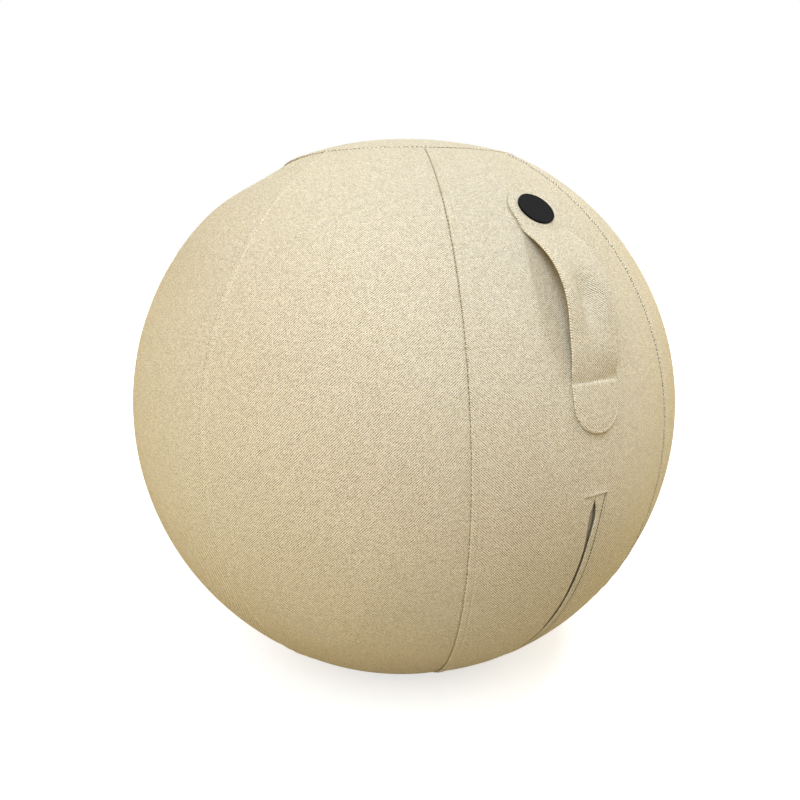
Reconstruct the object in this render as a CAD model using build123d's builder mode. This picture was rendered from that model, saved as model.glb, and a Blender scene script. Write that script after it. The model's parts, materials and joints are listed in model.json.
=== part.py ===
from build123d import *

import os
from math import cos, degrees, radians, sin, sqrt, tan

# Sitting ball: an air-filled inner ball inside a sewn fabric cover, with a strap handle and a hidden zip.
# Millimetres, +Z up, origin on the floor under the middle of the ball. The handle and the zip face -Y.
# Longitude runs counter-clockwise seen from above, and latitude is measured from the ball's equator.

# Cover
BALL_R = 325.0  # outer radius of the inflated cover
PANEL_COUNT = 8  # upright panels round the ball
PANEL_T = 3.0  # woven face on a thin foam backing
SEAM_LAT = 65.3  # latitude of the round seams of the top and base panels, degrees
TOP_RISE = 15.7  # crown of the top panel above its seam
BASE_DROP = 10.0  # depth of the base panel below its seam
BASE_FLAT_R = 85.0  # flat patch that stands on the floor
SEAM_GAP = 0.3  # between panels that are sewn edge to edge
GROOVE_W = 2.4  # drawn-in groove along each seam
GROOVE_D = 1.2
THREAD_R = 0.4  # seam thread lying in the groove
THREAD_FIT = 0.05  # between a thread and its groove

# Inner ball and its valve
SKIN_T = 1.0  # wall of the inflated skin
SKIN_GAP = 0.4  # between the cover and the skin
VALVE_LAT = -34.0  # behind the zip, so that it can be reached, degrees
VALVE_SEAT_R = 9.0
VALVE_SEAT_L = 18.0
VALVE_FLANGE_R = 14.0
VALVE_FLANGE_T = 1.2
VALVE_BORE_R = 5.0
PLUG_HEAD_R = 7.8
PLUG_HEAD_T = 1.4
PLUG_L = 14.0
VALVE_FIT = 0.1  # clearance of the plug in the seat and of the seat in the skin

# Zip
ZIP_TOP_LAT = -4.5  # upper end of the opening, degrees
ZIP_END_LAT = -62.0  # lower end of the opening, degrees
WINDOW_W = 30.0  # opening cut in the front panel
LIP_GAP = 4.0  # slit between the two lips
LIP_T = 1.5
LIP_HEM_W = 1.6  # turned-under edge that carries the tape
LIP_FIT = 0.1  # between the lips and the window's edge
EYE_LAT = -9.0  # where the lips part over the slider, degrees
EYE_W = 8.0
EYE_L = 60.0
TAPE_DEPTH = 6.3  # middle of the tape below the ball's surface
TAPE_T = 0.6
TOOTH_IN = 0.9  # inner face of a tooth from the zip's middle
TOOTH_OUT = 3.4
TOOTH_H = 2.2
TOOTH_L = 2.4
TOOTH_PITCH = 4.0
STOP_L = 3.0
STOP_INSET = 6.0  # from the window's upper end to the top stop
END_INSET = 22.0  # from the window's lower end to the end stop, room for the hanging pull

# Zip slider and pull
SLIDER_L = 10.0
SLIDER_CLEAR = 0.3  # over the teeth
SLIDER_SIDE_CLEAR = 0.6  # beside the teeth
SLIDER_PLATE_T = 0.8
SLIDER_WALL_T = 0.8
TAPE_SLOT = 1.4  # between the slider's upper and lower side walls
DIVIDER_W = 1.0
DIVIDER_L = 2.5
SLIDER_PARK = 1.0  # from the top stop to the parked slider
BRIDGE_W = 1.2
BRIDGE_L = 6.0
BRIDGE_WINDOW = 1.4  # height of the window for the pull's pin
BRIDGE_BAR_T = 0.6
PIN_R = 0.4
PULL_W = 3.2
PULL_T = 1.0
PULL_L = 22.0  # from its pin to its tip
PULL_ARM_GAP = 1.8  # between the two arms beside the bridge
PULL_NECK = 4.2  # from the pin to the solid part of the pull
SLIDER_FLOOR_GAP = 0.4  # between the slider and the skin behind it

# Handle
STRAP_W = 56.0
STRAP_T = 3.0
STRAP_SEAT = 0.1  # between the sewn ends and the cover
LOWER_TAB_LAT = 10.8  # middle of the lower round end, degrees
LOWER_CREASE_LAT = 14.0  # where the strap leaves its lower end, degrees
UPPER_TAB_LAT = 44.5  # middle of the upper round end, degrees
UPPER_CREASE_LAT = 40.3  # where the strap meets its upper end, degrees
BOW_LAT = 30.1  # knee of the bowed strap, degrees
BOW_RISE = 26.3  # the knee's height over the ball before it is rounded
KNEE_R = 82.0
CREASE_R = 20.0
TAB_OVERLAP = 4.0  # length of strap that runs into each sewn end

# Badge
BADGE_R = 19.0
BADGE_T = 1.8
BADGE_RIM = 1.6
BADGE_RECESS = 0.5
BADGE_SEAT = 0.1  # between the badge and the strap

# Worked-out places
BALL_Z = BALL_R * sin(radians(SEAM_LAT)) + BASE_DROP
POLE_Z = BALL_Z + BALL_R * sin(radians(SEAM_LAT)) + TOP_RISE
CENTRE = (0, 0, BALL_Z)
FRONT = -90.0  # longitude of the handle and the zip
PANEL_STEP = 360.0 / PANEL_COUNT
HALF_GAP = degrees(SEAM_GAP / 2 / BALL_R)
SKIN_INSET = PANEL_T + SKIN_GAP
THREAD_SEAT = BALL_R - GROOVE_D + THREAD_R * sqrt(GROOVE_D**2 + (GROOVE_W / 2) ** 2) / (GROOVE_W / 2) + THREAD_FIT

TAPE_R = BALL_R - TAPE_DEPTH
SLIDER_HALF_H = TOOTH_H / 2 + SLIDER_CLEAR + SLIDER_PLATE_T
TROUGH_R = TAPE_R - SLIDER_HALF_H - SLIDER_FLOOR_GAP
TROUGH_SLOPE = 9.0  # width over which the skin climbs out of the trough
TROUGH_END = 1.0  # trough beyond each end of the window, degrees
HEM_OUT = WINDOW_W / 2 - LIP_FIT
TOP_STOP_LAT = ZIP_TOP_LAT - degrees((STOP_INSET + STOP_L / 2) / TAPE_R)
END_STOP_LAT = ZIP_END_LAT + degrees((END_INSET + STOP_L / 2) / TAPE_R)
SLIDER_LAT = TOP_STOP_LAT - degrees((STOP_L / 2 + SLIDER_PARK + SLIDER_L / 2) / TAPE_R)
PIN_RISE = SLIDER_HALF_H + BRIDGE_WINDOW / 2


def meridian_plane(longitude):
    """Upright half plane: x runs outwards from the ball's axis, y is the height over the floor."""
    a = radians(longitude)
    return Plane(origin=(0, 0, 0), x_dir=(cos(a), sin(a), 0), z_dir=(sin(a), -cos(a), 0))


def sideways_axis(longitude):
    """Level axis through the ball's middle that turns a point of this meridian downwards."""
    a = radians(longitude)
    return Axis(CENTRE, (-sin(a), cos(a), 0))


def strip_plane(longitude, latitude):
    """Cross-section of a strip on a meridian: x runs sideways, y outwards from the ball's middle."""
    a = radians(longitude)
    b = radians(latitude)
    return Plane(
        origin=CENTRE,
        x_dir=(-sin(a), cos(a), 0),
        z_dir=(cos(a) * sin(b), sin(a) * sin(b), -cos(b)),
    )


def surface_plane(latitude, radius):
    """Plane square to the front meridian's radius: x sideways, y up along the ball, z outwards."""
    b = radians(latitude)
    out = Vector(0, -cos(b), sin(b))
    return Plane(origin=Vector(*CENTRE) + out * radius, x_dir=(1, 0, 0), z_dir=out)


def ring_point(latitude, radius, along=0.0):
    """Point of an upright half plane, at this radius from the ball's middle and this far up the tangent."""
    b = radians(latitude)
    return (radius * cos(b) - along * sin(b), BALL_Z + radius * sin(b) + along * cos(b))


def side_point(latitude, radius):
    """The same on the handle's side view, where x is the model's Y."""
    across, height = ring_point(latitude, radius)
    return (-across, height)


def ball_outline(inset):
    """Half outline of the whole ball, this far inside the cover's outer face."""
    radius = BALL_R - inset
    base_edge = ring_point(-SEAM_LAT, radius)
    top_edge = ring_point(SEAM_LAT, radius)
    Line((0, inset), (BASE_FLAT_R, inset))
    TangentArc((BASE_FLAT_R, inset), base_edge, tangent=(1, 0))
    CenterArc((0, BALL_Z), radius, -SEAM_LAT, 2 * SEAM_LAT)
    TangentArc((0, POLE_Z - inset), top_edge, tangent=(1, 0))
    Line((0, POLE_Z - inset), (0, inset))


def trough_outline(grow):
    """Cross-section of the hollow that the zip presses into the skin."""
    floor_half = WINDOW_W / 2 + grow
    top_half = floor_half + TROUGH_SLOPE
    Polyline(
        (-floor_half, TROUGH_R - grow),
        (floor_half, TROUGH_R - grow),
        (top_half, BALL_R),
        (-top_half, BALL_R),
        close=True,
    )


def groove_outline(latitude):
    """Cross-section of the groove along a round seam."""
    Polyline(
        ring_point(latitude, BALL_R - GROOVE_D),
        ring_point(latitude, BALL_R + GROOVE_D, GROOVE_W),
        ring_point(latitude, BALL_R + GROOVE_D, -GROOVE_W),
        close=True,
    )


# Grooves of all the seams, cut from the panels
with BuildPart() as grooves:
    for seam in range(PANEL_COUNT):
        longitude = FRONT + (seam + 0.5) * PANEL_STEP
        with BuildSketch(strip_plane(longitude, SEAM_LAT)):
            with BuildLine():
                Polyline(
                    (0, BALL_R - GROOVE_D),
                    (GROOVE_W, BALL_R + GROOVE_D),
                    (-GROOVE_W, BALL_R + GROOVE_D),
                    close=True,
                )
            make_face()
        revolve(axis=sideways_axis(longitude), revolution_arc=2 * SEAM_LAT)
    for latitude in (SEAM_LAT, -SEAM_LAT):
        with BuildSketch(meridian_plane(FRONT)):
            with BuildLine():
                groove_outline(latitude)
            make_face()
        revolve(axis=Axis.Z)

# Opening for the zip, cut from the front panel
with BuildPart() as window:
    with BuildSketch(strip_plane(FRONT, ZIP_TOP_LAT)):
        with Locations((0, BALL_R)):
            Rectangle(WINDOW_W, 4 * PANEL_T)
    revolve(axis=sideways_axis(FRONT), revolution_arc=ZIP_TOP_LAT - ZIP_END_LAT)

# Upright panels: the first one carries the handle and the zip
panels = []
for number in range(PANEL_COUNT):
    start = FRONT + (number - 0.5) * PANEL_STEP + HALF_GAP
    edge_lat = SEAM_LAT - HALF_GAP
    with BuildPart() as panel:
        with BuildSketch(meridian_plane(start)):
            with BuildLine():
                CenterArc((0, BALL_Z), BALL_R, -edge_lat, 2 * edge_lat)
                Line(ring_point(edge_lat, BALL_R), ring_point(edge_lat, BALL_R - PANEL_T))
                CenterArc((0, BALL_Z), BALL_R - PANEL_T, -edge_lat, 2 * edge_lat)
                Line(ring_point(-edge_lat, BALL_R), ring_point(-edge_lat, BALL_R - PANEL_T))
            make_face()
        revolve(axis=Axis.Z, revolution_arc=PANEL_STEP - 2 * HALF_GAP)
        add(grooves.part, mode=Mode.SUBTRACT)
        if number == 0:
            add(window.part, mode=Mode.SUBTRACT)
    panels.append(panel)

# Round top panel, less domed than the ball
with BuildPart() as top_panel:
    with BuildSketch(meridian_plane(FRONT)):
        outer_edge = ring_point(SEAM_LAT + HALF_GAP, BALL_R)
        inner_edge = ring_point(SEAM_LAT + HALF_GAP, BALL_R - PANEL_T)
        with BuildLine():
            TangentArc((0, POLE_Z), outer_edge, tangent=(1, 0))
            Line(outer_edge, inner_edge)
            TangentArc((0, POLE_Z - PANEL_T), inner_edge, tangent=(1, 0))
            Line((0, POLE_Z - PANEL_T), (0, POLE_Z))
        make_face()
    revolve(axis=Axis.Z)
    add(grooves.part, mode=Mode.SUBTRACT)

# Round base panel with the flat patch that the ball stands on
with BuildPart() as base_panel:
    with BuildSketch(meridian_plane(FRONT)):
        outer_edge = ring_point(-SEAM_LAT - HALF_GAP, BALL_R)
        inner_edge = ring_point(-SEAM_LAT - HALF_GAP, BALL_R - PANEL_T)
        with BuildLine():
            Line((0, 0), (BASE_FLAT_R, 0))
            TangentArc((BASE_FLAT_R, 0), outer_edge, tangent=(1, 0))
            Line(outer_edge, inner_edge)
            TangentArc((BASE_FLAT_R, PANEL_T), inner_edge, tangent=(1, 0))
            Line((BASE_FLAT_R, PANEL_T), (0, PANEL_T))
            Line((0, PANEL_T), (0, 0))
        make_face()
    revolve(axis=Axis.Z)
    add(grooves.part, mode=Mode.SUBTRACT)

# Threads of the upright seams, lying in their grooves
with BuildPart() as seam_threads:
    thread_lat = SEAM_LAT - degrees(GROOVE_W / BALL_R)
    for seam in range(PANEL_COUNT):
        longitude = FRONT + (seam + 0.5) * PANEL_STEP
        with BuildSketch(strip_plane(longitude, thread_lat)):
            with Locations((0, THREAD_SEAT)):
                Circle(THREAD_R)
        revolve(axis=sideways_axis(longitude), revolution_arc=2 * thread_lat)

# Threads of the two round seams
with BuildPart() as top_thread:
    with BuildSketch(meridian_plane(FRONT)):
        with Locations(ring_point(SEAM_LAT, THREAD_SEAT)):
            Circle(THREAD_R)
    revolve(axis=Axis.Z)

with BuildPart() as base_thread:
    with BuildSketch(meridian_plane(FRONT)):
        with Locations(ring_point(-SEAM_LAT, THREAD_SEAT)):
            Circle(THREAD_R)
    revolve(axis=Axis.Z)

# Air space of the inner ball, with the zip's trough standing into it
TROUGH_SPAN = ZIP_TOP_LAT - ZIP_END_LAT + 2 * TROUGH_END
SKIN_ANGLE = degrees(SKIN_T / TROUGH_R)
with BuildPart() as air_space:
    with BuildSketch(meridian_plane(FRONT)):
        with BuildLine():
            ball_outline(SKIN_INSET + SKIN_T)
        make_face()
    revolve(axis=Axis.Z)
    with BuildSketch(strip_plane(FRONT, ZIP_TOP_LAT + TROUGH_END + SKIN_ANGLE)):
        with BuildLine():
            trough_outline(SKIN_T)
        make_face()
    revolve(axis=sideways_axis(FRONT), revolution_arc=TROUGH_SPAN + 2 * SKIN_ANGLE, mode=Mode.SUBTRACT)

# Inflated skin, with a round hole for the valve's seat
with BuildPart() as inner_ball:
    with BuildSketch(meridian_plane(FRONT)):
        with BuildLine():
            ball_outline(SKIN_INSET)
        make_face()
    revolve(axis=Axis.Z)
    with BuildSketch(strip_plane(FRONT, ZIP_TOP_LAT + TROUGH_END)):
        with BuildLine():
            trough_outline(0)
        make_face()
    revolve(axis=sideways_axis(FRONT), revolution_arc=TROUGH_SPAN, mode=Mode.SUBTRACT)
    add(air_space.part, mode=Mode.SUBTRACT)
    with BuildSketch(surface_plane(VALVE_LAT, TROUGH_R)):
        Circle(VALVE_SEAT_R + VALVE_FIT)
    extrude(amount=VALVE_SEAT_R, both=True, mode=Mode.SUBTRACT)

# Valve seat: a tube through the skin with a flange behind it
SEAT_TOP_R = TROUGH_R - VALVE_FIT
FLANGE_TOP_R = TROUGH_R - SKIN_T - VALVE_FLANGE_R**2 / (2 * TROUGH_R) - VALVE_FIT
with BuildPart() as valve_seat:
    with BuildSketch(surface_plane(VALVE_LAT, SEAT_TOP_R)):
        Circle(VALVE_SEAT_R)
    extrude(amount=-VALVE_SEAT_L)
    with BuildSketch(surface_plane(VALVE_LAT, FLANGE_TOP_R)):
        Circle(VALVE_FLANGE_R)
    extrude(amount=-VALVE_FLANGE_T)
    with BuildSketch(surface_plane(VALVE_LAT, SEAT_TOP_R)):
        Circle(PLUG_HEAD_R + VALVE_FIT)
    extrude(amount=-PLUG_HEAD_T - VALVE_FIT, mode=Mode.SUBTRACT)
    with BuildSketch(surface_plane(VALVE_LAT, SEAT_TOP_R)):
        Circle(VALVE_BORE_R)
    extrude(amount=-VALVE_SEAT_L, mode=Mode.SUBTRACT)

# Valve plug, pushed in flush
with BuildPart() as valve_plug:
    with BuildSketch(surface_plane(VALVE_LAT, SEAT_TOP_R)):
        Circle(PLUG_HEAD_R)
    extrude(amount=-PLUG_HEAD_T)
    with BuildSketch(surface_plane(VALVE_LAT, SEAT_TOP_R)):
        Circle(VALVE_BORE_R - VALVE_FIT)
    extrude(amount=-PLUG_L)

# Zip lips: strips with a turned-under hem, parted in an eye over the slider
lips = []
for side in (-1, 1):
    with BuildPart() as lip:
        lip_lat = ZIP_TOP_LAT - degrees(LIP_FIT / BALL_R)
        with BuildSketch(strip_plane(FRONT, lip_lat)):
            with BuildLine():
                Polyline(
                    (side * LIP_GAP / 2, BALL_R),
                    (side * HEM_OUT, BALL_R),
                    (side * HEM_OUT, TAPE_R + TAPE_T / 2),
                    (side * (HEM_OUT - LIP_HEM_W), TAPE_R + TAPE_T / 2),
                    (side * (HEM_OUT - LIP_HEM_W), BALL_R - LIP_T),
                    (side * LIP_GAP / 2, BALL_R - LIP_T),
                    close=True,
                )
            make_face()
        revolve(axis=sideways_axis(FRONT), revolution_arc=lip_lat - ZIP_END_LAT - degrees(LIP_FIT / BALL_R))
        with BuildSketch(surface_plane(EYE_LAT, BALL_R)):
            Ellipse(EYE_W / 2, EYE_L / 2)
        extrude(amount=2 * LIP_T, both=True, mode=Mode.SUBTRACT)
    lips.append(lip)

# Zip tapes, from the teeth to the lips' hems
tapes = []
for side in (-1, 1):
    with BuildPart() as tape:
        with BuildSketch(strip_plane(FRONT, lip_lat)):
            with Locations((side * (TOOTH_OUT + HEM_OUT) / 2, TAPE_R)):
                Rectangle(HEM_OUT - TOOTH_OUT, TAPE_T)
        revolve(axis=sideways_axis(FRONT), revolution_arc=lip_lat - ZIP_END_LAT - degrees(LIP_FIT / BALL_R))
    tapes.append(tape)

# Zip teeth, a row on each side of the slider's divider
first_lat = TOP_STOP_LAT - degrees((STOP_L + TOOTH_PITCH) / 2 / TAPE_R)
last_lat = END_STOP_LAT + degrees((STOP_L + TOOTH_PITCH) / 2 / TAPE_R)
tooth_count = int(radians(first_lat - last_lat) * TAPE_R / TOOTH_PITCH) + 1
teeth = []
for side in (-1, 1):
    with BuildPart() as row:
        for tooth in range(tooth_count):
            tooth_lat = first_lat - degrees(tooth * TOOTH_PITCH / TAPE_R)
            with BuildSketch(surface_plane(tooth_lat, TAPE_R - TOOTH_H / 2)):
                with Locations((side * (TOOTH_IN + TOOTH_OUT) / 2, 0)):
                    Rectangle(TOOTH_OUT - TOOTH_IN, TOOTH_L)
        extrude(amount=TOOTH_H)
    teeth.append(row)

# Stops across both ends of the teeth
stops = []
for stop_lat in (TOP_STOP_LAT, END_STOP_LAT):
    with BuildPart() as stop:
        with BuildSketch(surface_plane(stop_lat, TAPE_R - TOOTH_H / 2)):
            Rectangle(2 * TOOTH_OUT, STOP_L)
        extrude(amount=TOOTH_H)
    stops.append(stop)

# Zip slider: two plates joined by the divider, with side walls and a bridge for the pull
SLIDER_HALF_W = TOOTH_OUT + SLIDER_SIDE_CLEAR + SLIDER_WALL_T
CHANNEL_H = TOOTH_H + 2 * SLIDER_CLEAR
with BuildPart() as zip_slider:
    with BuildSketch(surface_plane(SLIDER_LAT, TAPE_R - SLIDER_HALF_H)):
        Rectangle(2 * SLIDER_HALF_W, SLIDER_L)
    extrude(amount=2 * SLIDER_HALF_H)
    with BuildSketch(surface_plane(SLIDER_LAT, TAPE_R - CHANNEL_H / 2)):
        Rectangle(2 * (SLIDER_HALF_W - SLIDER_WALL_T), SLIDER_L)
        with Locations((0, (SLIDER_L - DIVIDER_L) / 2)):
            Rectangle(DIVIDER_W, DIVIDER_L, mode=Mode.SUBTRACT)
    extrude(amount=CHANNEL_H, mode=Mode.SUBTRACT)
    with BuildSketch(surface_plane(SLIDER_LAT, TAPE_R - TAPE_SLOT / 2)):
        Rectangle(2 * SLIDER_HALF_W, SLIDER_L)
        Rectangle(2 * (SLIDER_HALF_W - SLIDER_WALL_T), SLIDER_L, mode=Mode.SUBTRACT)
    extrude(amount=TAPE_SLOT, mode=Mode.SUBTRACT)
    with BuildSketch(surface_plane(SLIDER_LAT, TAPE_R + SLIDER_HALF_H)):
        Rectangle(BRIDGE_W, BRIDGE_L)
    extrude(amount=BRIDGE_WINDOW + BRIDGE_BAR_T)
    with BuildSketch(surface_plane(SLIDER_LAT, TAPE_R + SLIDER_HALF_H)):
        Rectangle(BRIDGE_W, BRIDGE_L - 2 * SLIDER_WALL_T)
    extrude(amount=BRIDGE_WINDOW, mode=Mode.SUBTRACT)

# Zip pull: a pin through the bridge, two arms beside it and a slim tongue hanging down
with BuildPart() as zip_pull:
    with BuildSketch(surface_plane(SLIDER_LAT, TAPE_R + PIN_RISE - PULL_T / 2)):
        with Locations((0, -PULL_L / 2 + PULL_T / 4)):
            RectangleRounded(PULL_W, PULL_L + PULL_T / 2, PULL_T / 2)
        with Locations((0, -PULL_NECK / 2 + PULL_T)):
            Rectangle(PULL_ARM_GAP, PULL_NECK + 2 * PULL_T, mode=Mode.SUBTRACT)
    extrude(amount=PULL_T)
    with Locations(surface_plane(SLIDER_LAT, TAPE_R + PIN_RISE)):
        Cylinder(PIN_R, PULL_ARM_GAP + PULL_T / 2, rotation=(0, 90, 0))

# Sewn round ends of the handle, lying on the ball
TAB_LOW_R = BALL_R + STRAP_SEAT
TAB_TOP_R = TAB_LOW_R + STRAP_T
tabs = []
for tab_lat, crease_lat in ((LOWER_TAB_LAT, LOWER_CREASE_LAT), (UPPER_TAB_LAT, UPPER_CREASE_LAT)):
    reach = BALL_R * tan(radians(crease_lat - tab_lat))
    with BuildPart() as tab:
        with Locations(CENTRE):
            Sphere(TAB_TOP_R)
            Sphere(TAB_LOW_R, mode=Mode.SUBTRACT)
        with BuildSketch(surface_plane(tab_lat, TAB_LOW_R)):
            Circle(STRAP_W / 2)
            with Locations((0, reach / 2)):
                Rectangle(STRAP_W, abs(reach))
        extrude(amount=2 * STRAP_T, both=True, mode=Mode.INTERSECT)
    tabs.append(tab)

# Handle strap: bowed off the ball between its two ends
STRAP_R = TAB_LOW_R + STRAP_T / 2
overlap_angle = degrees(TAB_OVERLAP / STRAP_R)
with BuildPart() as handle_strap:
    with BuildSketch(Plane.YZ):
        with BuildLine() as strap_line:
            FilletPolyline(
                side_point(LOWER_CREASE_LAT - overlap_angle, STRAP_R),
                side_point(LOWER_CREASE_LAT, STRAP_R),
                side_point(BOW_LAT, BALL_R + BOW_RISE),
                side_point(UPPER_CREASE_LAT, STRAP_R),
                side_point(UPPER_CREASE_LAT + overlap_angle, STRAP_R),
                radius=[CREASE_R, KNEE_R, CREASE_R],
            )
        trace(line_width=STRAP_T)
    extrude(amount=STRAP_W / 2, both=True)
    with Locations(CENTRE):
        Sphere(TAB_LOW_R, mode=Mode.SUBTRACT)
    for tab in tabs:
        add(tab.part)

# Plain round badge with a raised rim on the handle's upper end
BADGE_LOW_R = TAB_TOP_R + BADGE_SEAT
with BuildPart() as handle_badge:
    with Locations(CENTRE):
        Sphere(BADGE_LOW_R + BADGE_T)
        Sphere(BADGE_LOW_R, mode=Mode.SUBTRACT)
    with BuildSketch(surface_plane(UPPER_TAB_LAT, BADGE_LOW_R)):
        Circle(BADGE_R)
    extrude(amount=2 * BADGE_T, both=True, mode=Mode.INTERSECT)
    with BuildSketch(surface_plane(UPPER_TAB_LAT, BADGE_LOW_R + BADGE_T - BADGE_RECESS)):
        Circle(BADGE_R - BADGE_RIM)
    extrude(amount=BADGE_T, mode=Mode.SUBTRACT)

pieces = {
    "top_panel": top_panel,
    "base_panel": base_panel,
    "seam_threads": seam_threads,
    "top_seam_thread": top_thread,
    "base_seam_thread": base_thread,
    "inner_ball": inner_ball,
    "valve_seat": valve_seat,
    "valve_plug": valve_plug,
    "zip_lip_left": lips[0],
    "zip_lip_right": lips[1],
    "zip_tape_left": tapes[0],
    "zip_tape_right": tapes[1],
    "zip_teeth_left": teeth[0],
    "zip_teeth_right": teeth[1],
    "zip_top_stop": stops[0],
    "zip_end_stop": stops[1],
    "zip_slider": zip_slider,
    "zip_pull": zip_pull,
    "handle_strap": handle_strap,
    "handle_badge": handle_badge,
    "front_panel": panels[0],
}
for number, panel in enumerate(panels[1:], start=2):
    pieces[f"side_panel_{number}"] = panel

os.makedirs("parts", exist_ok=True)
for name, piece in pieces.items():
    piece.part.label = name
    export_step(piece.part, f"parts/{name}.step")

slider_travel = SLIDER_LAT - END_STOP_LAT - degrees((STOP_L / 2 + SLIDER_PARK + SLIDER_L / 2) / TAPE_R)
print("ball centre", BALL_Z, "height", POLE_Z, "slider latitude", SLIDER_LAT, "travel", slider_travel)
print("pull pin", surface_plane(SLIDER_LAT, TAPE_R + PIN_RISE).origin)
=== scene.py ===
import json
import math

import bpy
import numpy as np
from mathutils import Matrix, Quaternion, Vector


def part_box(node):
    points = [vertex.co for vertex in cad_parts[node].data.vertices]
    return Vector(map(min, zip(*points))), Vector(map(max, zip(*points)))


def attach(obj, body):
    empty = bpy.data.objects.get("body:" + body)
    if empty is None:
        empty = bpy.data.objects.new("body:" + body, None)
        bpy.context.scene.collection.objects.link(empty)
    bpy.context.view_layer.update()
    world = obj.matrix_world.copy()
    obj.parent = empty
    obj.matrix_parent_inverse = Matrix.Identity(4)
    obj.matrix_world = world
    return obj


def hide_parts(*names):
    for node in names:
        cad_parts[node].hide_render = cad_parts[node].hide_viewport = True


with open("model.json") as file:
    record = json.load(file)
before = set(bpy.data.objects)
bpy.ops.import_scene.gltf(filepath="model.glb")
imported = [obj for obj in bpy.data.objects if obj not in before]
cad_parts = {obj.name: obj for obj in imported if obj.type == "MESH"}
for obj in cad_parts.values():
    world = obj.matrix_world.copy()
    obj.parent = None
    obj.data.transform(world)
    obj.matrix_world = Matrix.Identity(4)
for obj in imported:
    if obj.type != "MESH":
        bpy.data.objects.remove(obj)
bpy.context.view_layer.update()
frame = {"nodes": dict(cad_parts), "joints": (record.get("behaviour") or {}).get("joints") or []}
MM = 0.001

# Sizes read from the frame, in metres and radians
SLIDER_JOINT = next(j for j in frame["joints"] if j["name"] == "zip_slider_travel")
BALL_Z = SLIDER_JOINT["pos_m"][2]
BALL_CENTRE = np.array([0, 0, BALL_Z])
BALL_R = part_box("side_panel_3")[1][0]
POLE_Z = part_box("top_panel")[1][2]
TOP_SEAM_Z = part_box("top_seam_thread")[0][2]
THREAD_INSET = 0.5 * MM
SEAM_LAT = math.asin((TOP_SEAM_Z - BALL_Z) / (BALL_R - THREAD_INSET))
SEAM_RING_R = BALL_R * math.cos(SEAM_LAT)
PANEL_COUNT = 8
PANEL_STEP = 2 * math.pi / PANEL_COUNT
STRAP_HALF = (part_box("handle_strap")[1][0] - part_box("handle_strap")[0][0]) / 2

# Window for the zip in the front panel, and how far its pieces stay from its ends in radians
WINDOW_HALF = 15.0 * MM
ZIP_TOP = math.radians(-4.5)
ZIP_END = math.radians(-62.0)
ZIP_MARGIN = 0.0006


# Places on the ball

def on_ball(lon, lat, radius):
    """Points at a longitude from the handle's side, a latitude and a radius from the ball's middle."""
    lon, lat, radius = np.broadcast_arrays(lon, lat, radius)
    level = radius * np.cos(lat)
    return np.stack([level * np.sin(lon), -level * np.cos(lon), BALL_Z + radius * np.sin(lat)], axis=-1)


def on_strip(side, lat, reach):
    """Points beside the front meridian: sideways distance, latitude, reach from the sideways axis."""
    side, lat, reach = np.broadcast_arrays(side, lat, reach)
    return np.stack([side, -reach * np.cos(lat), BALL_Z + reach * np.sin(lat)], axis=-1)


def bell(distance, width):
    """1 at no distance, falling away smoothly over this width."""
    return np.exp(-((distance / width) ** 2))


def ease(x):
    """A smooth step from 0 to 1."""
    x = np.clip(x, 0.0, 1.0)
    return x * x * (3 - 2 * x)


def unit(vectors):
    return vectors / np.linalg.norm(vectors, axis=-1)[..., None]


def run_along(path):
    """The distance run along a path, at each of its points."""
    return np.concatenate([[0], np.cumsum(np.linalg.norm(np.diff(path, axis=0), axis=1))])


def at_run(place, run, values):
    """What a path's values are at these distances along it."""
    return np.stack([np.interp(place, run, column) for column in values.T], axis=-1)


# Mesh helpers

def make_object(name, points, faces, material, uv=None, smooth=True):
    """A mesh object from points, faces and, if given, one cloth coordinate for each point."""
    mesh = bpy.data.meshes.new(name)
    mesh.from_pydata([tuple(p) for p in np.reshape(points, (-1, 3))], [], faces)
    if uv is not None:
        layer = mesh.uv_layers.new(name="weave")
        corner = np.zeros(len(mesh.loops), dtype=np.int32)
        mesh.loops.foreach_get("vertex_index", corner)
        layer.data.foreach_set("uv", np.reshape(uv, (-1, 2)).astype(np.float32)[corner].ravel())
    mesh.polygons.foreach_set("use_smooth", [smooth] * len(mesh.polygons))
    mesh.materials.append(material)
    mesh.update()
    thing = bpy.data.objects.new(name, mesh)
    bpy.context.scene.collection.objects.link(thing)
    return thing


def grid_faces(rows, columns, skip=None, closed=False):
    """Quads of a grid of points, facing outwards when columns run to the right and rows go up."""
    faces = []
    for i in range(rows - 1):
        for j in range(columns if closed else columns - 1):
            if skip is not None and skip(i, j):
                continue
            k = (j + 1) % columns
            low, high = i * columns, (i + 1) * columns
            faces.append((low + j, low + k, high + k, high + j))
    return faces


def flipped(faces):
    return [face[::-1] for face in faces]


def cloth_uv(across, lat):
    """Cloth coordinates from the distance across a piece and the latitude."""
    return np.stack([across, np.broadcast_to(BALL_R * lat, across.shape)], axis=-1)


def settle(piece, *nodes, slot=None):
    """The piece rides with the ball and stands for these solids."""
    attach(piece, "ball")
    if nodes:
        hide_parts(*nodes)
    return piece


# Materials: display colours go from 0 to 255

# Twill: steps of its repeat, how far yarns stray, and shares of its tones
TWILL_REPEAT = 4.0
TWILL_OVER = 1.5
WANDER, WANDER_SCALE = 5.0, 16.0
WOBBLE, WOBBLE_SCALE = 3.2, 130.0
DRIFT, DRIFT_SCALE = 0.06, 5.0
TONE_RUN = 5.0
FLECK_SHARE = 0.65
LINE_SHARE = 0.44
SHEEN_TINT = (240, 206, 116)

# Thread and moulded pieces
PLY_SCALE = 900.0
PLY_DEPTH = 0.15 * MM
THREAD_CHANGE_SCALE = 160.0
PATCH_SCALE = 35.0
GLOSS_CHANGE = 0.08


def new_material(name):
    material = bpy.data.materials.new(name)
    material.use_nodes = True
    tree = material.node_tree
    shader = next(n for n in tree.nodes if n.type == "BSDF_PRINCIPLED")
    return material, tree, shader


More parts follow.
